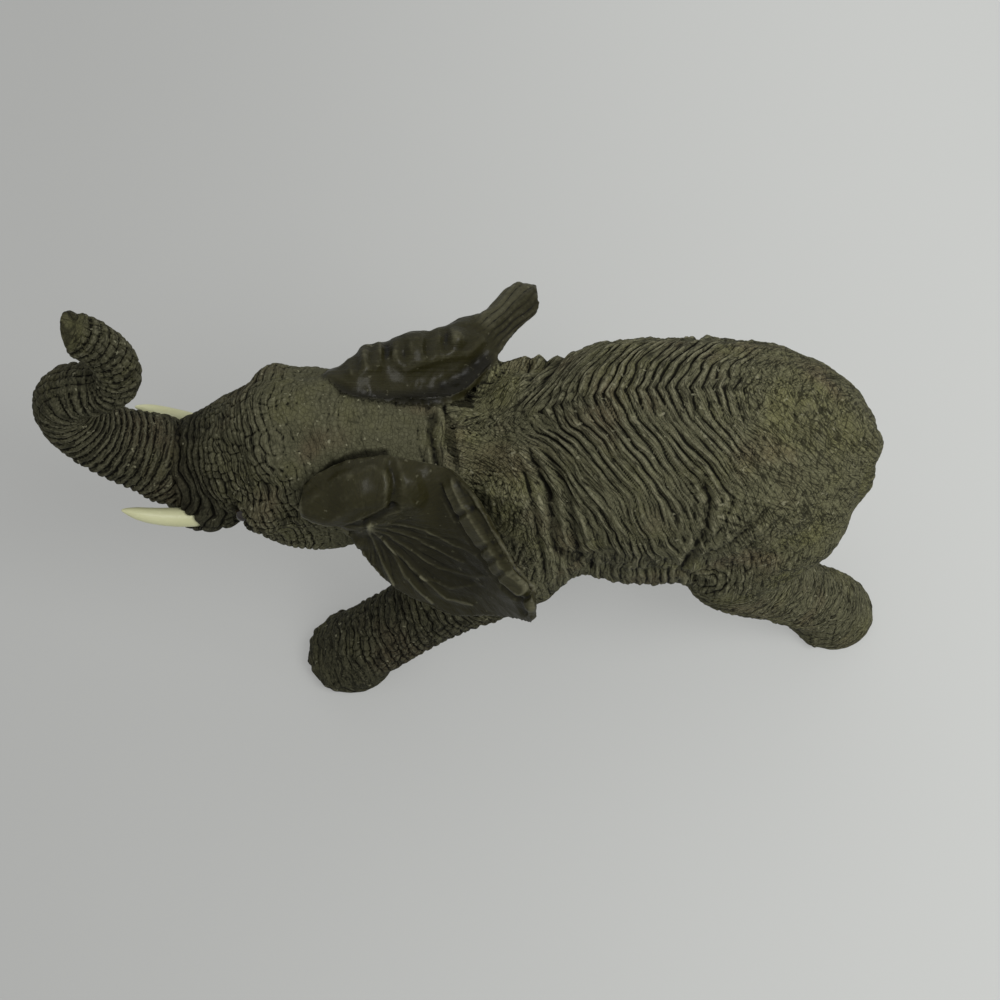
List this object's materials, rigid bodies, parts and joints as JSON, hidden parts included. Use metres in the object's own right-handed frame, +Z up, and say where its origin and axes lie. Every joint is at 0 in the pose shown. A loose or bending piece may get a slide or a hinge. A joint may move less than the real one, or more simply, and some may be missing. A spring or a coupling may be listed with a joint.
{
  "type": "toy elephant figure",
  "caption": "Walking African elephant play figure with a raised S-shaped trunk, flared ears and flat soles, glued up from moulded pieces.",
  "frame": {"origin": "on the floor plane under the middle of the figure's box", "axes": "+Z up, the head and trunk point to -X, the figure's right side is +Y"},
  "size_m": [0.1826, 0.079, 0.1134],
  "materials": {
    "hide": "matte olive grey with a dark wash in the wrinkles and lighter ridges",
    "ear_hide": "satin dark olive grey",
    "ivory": "satin cream"
  },
  "bodies": {
    "root": {"torso_left_half": "hide", "torso_right_half": "hide", "head": "hide", "trunk": "hide", "lower_jaw": "hide", "left_ear": "ear_hide", "right_ear": "ear_hide", "left_tusk": "ivory", "right_tusk": "ivory", "front_left_leg": "hide", "front_right_leg": "hide", "hind_left_leg": "hide", "hind_right_leg": "hide", "tail": "hide"}
  },
  "joints": []
}
